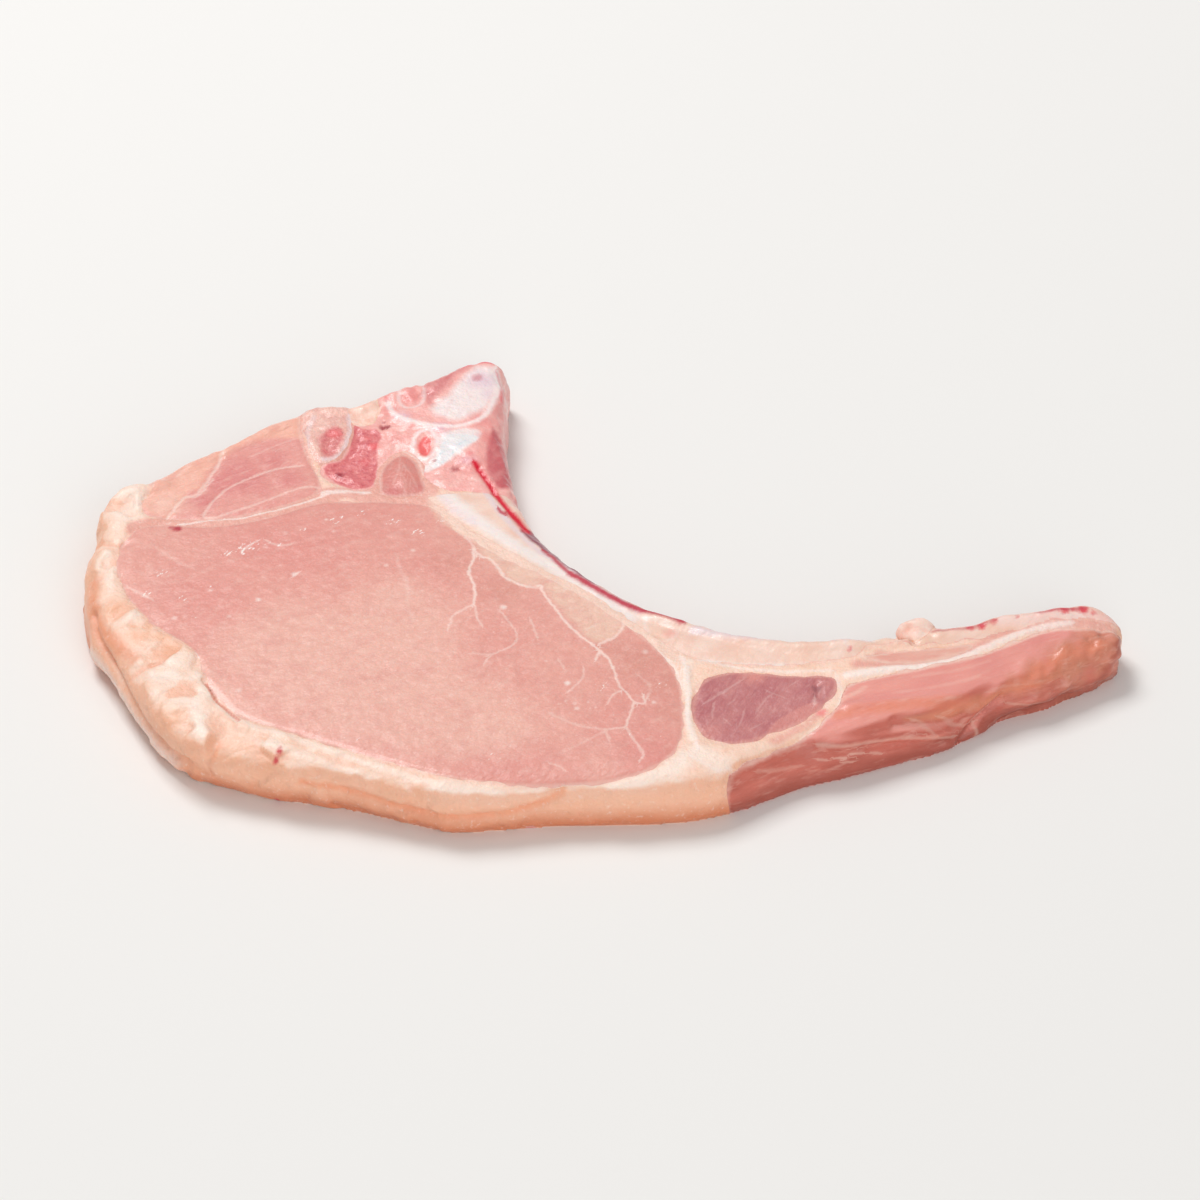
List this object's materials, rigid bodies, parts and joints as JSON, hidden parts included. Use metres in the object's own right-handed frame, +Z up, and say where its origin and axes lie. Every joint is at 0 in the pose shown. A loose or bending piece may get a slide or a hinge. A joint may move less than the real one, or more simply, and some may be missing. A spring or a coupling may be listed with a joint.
{
  "type": "raw pork rib chop",
  "caption": "Raw bone-in pork rib chop lying on a cut face: pale loin eye, rim of back fat, rib and chine bone round the inner curve, and a tapering flank tail.",
  "frame": {"origin": "centre of the bounding box in plan, at the flat cut face that lies on the table", "axes": "+X along the length, from the thick back fat towards the flank tail; +Y towards the chine bone; +Z up, through the thickness"},
  "size_m": [0.1892, 0.1254, 0.0115],
  "materials": {
    "eye_muscle": "satin",
    "upper_muscle": "satin",
    "dark_muscle": "satin",
    "flank_muscle": "satin",
    "rib_muscle": "satin",
    "fat": "satin",
    "fat_scrap": "satin",
    "chine_fat": "satin",
    "rib_bone": "satin",
    "chine_bone": "satin",
    "process_bone": "satin",
    "joint_disc": "satin"
  },
  "bodies": {
    "root": {"eye_muscle": "eye_muscle", "upper_muscle": "upper_muscle", "dark_muscle": "dark_muscle", "flank_muscle": "flank_muscle", "rib_muscle": "rib_muscle", "fat": "fat", "fat_scrap": "fat_scrap", "chine_fat": "chine_fat", "rib_bone": "rib_bone", "chine_bone": "chine_bone", "process_bone": "process_bone", "joint_disc": "joint_disc"}
  },
  "joints": []
}
